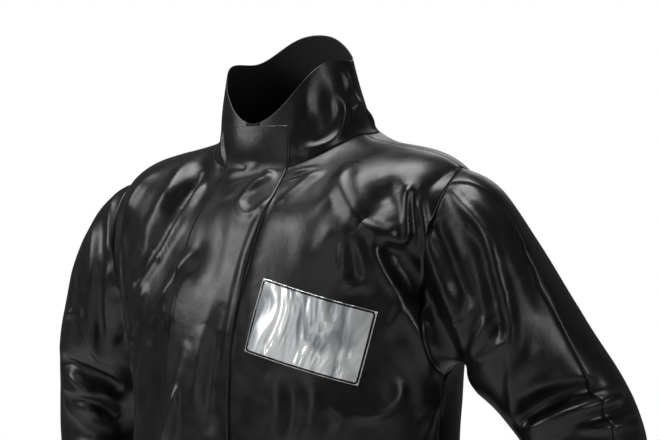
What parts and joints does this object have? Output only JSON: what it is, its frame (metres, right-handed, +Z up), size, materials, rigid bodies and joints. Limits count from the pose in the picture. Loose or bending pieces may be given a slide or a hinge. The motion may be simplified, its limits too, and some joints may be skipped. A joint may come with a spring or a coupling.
{
  "type": "rain suit",
  "caption": "Black coated rain suit as worn: stand-collar jacket with storm flap and bare reflective chest panel, straight over-trousers, hollow and open at neck, cuffs and ankles.",
  "frame": {"origin": "where the suit hangs: midway between the shoulders at the height of the root of the neck, seams at the neck's sides", "axes": "+Z up; the wearer faces -Y; the wearer's left arm is at +X"},
  "size_m": [0.9026, 0.3203, 1.6294],
  "materials": {
    "coated_cloth": "soft gloss black coating on knitted backing",
    "silver_film": "shiny silver reflective film",
    "zip_tape": "matt woven black tape"
  },
  "bodies": {
    "root": {"back": "coated_cloth", "front_left": "coated_cloth", "front_right": "coated_cloth", "zip_tape": "zip_tape", "collar": "coated_cloth", "storm_flap": "coated_cloth", "chest_panel": "silver_film", "sleeve_front_left": "coated_cloth", "sleeve_back_left": "coated_cloth", "sleeve_front_right": "coated_cloth", "sleeve_back_right": "coated_cloth", "waistband": "coated_cloth", "trouser_front_left": "coated_cloth", "trouser_back_left": "coated_cloth", "trouser_front_right": "coated_cloth", "trouser_back_right": "coated_cloth"}
  },
  "joints": []
}
